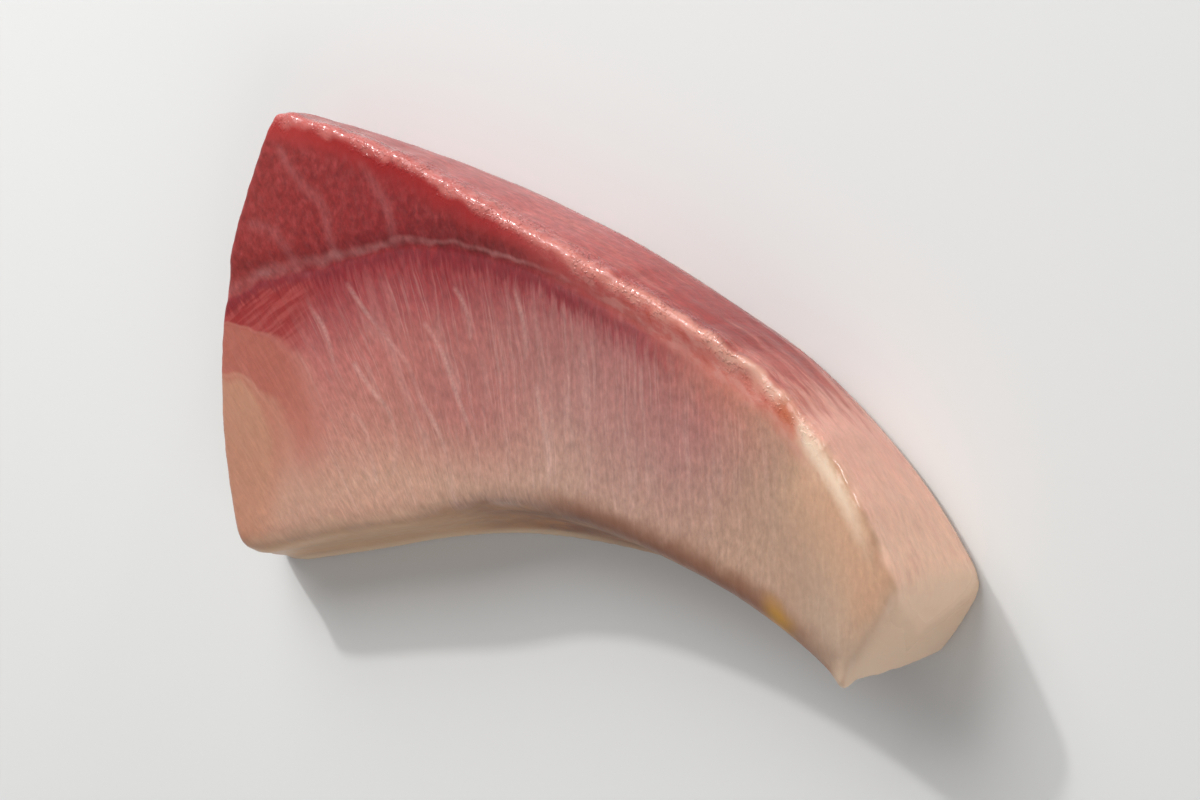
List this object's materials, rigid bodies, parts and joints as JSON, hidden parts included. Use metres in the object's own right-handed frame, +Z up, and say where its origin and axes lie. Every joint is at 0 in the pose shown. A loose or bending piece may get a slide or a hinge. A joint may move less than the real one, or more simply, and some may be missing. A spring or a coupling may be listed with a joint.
{
  "type": "yellowtail sashimi slice",
  "caption": "Thick raw fish slice with a curved skin side, a hollow belly side, a broad loin end and a narrow tip, lying flat with its marbled cut face up.",
  "frame": {"origin": "centre of the bounding box, at the flat back that the slice lies on", "axes": "+X along the slice from the loin cut to the narrow tip, +Y across it towards the skin side, +Z up out of the shown cut face"},
  "size_m": [0.0864, 0.0432, 0.0117],
  "materials": {
    "yellowtail_flesh": null
  },
  "bodies": {
    "root": {"sashimi_slice": "yellowtail_flesh"}
  },
  "joints": []
}
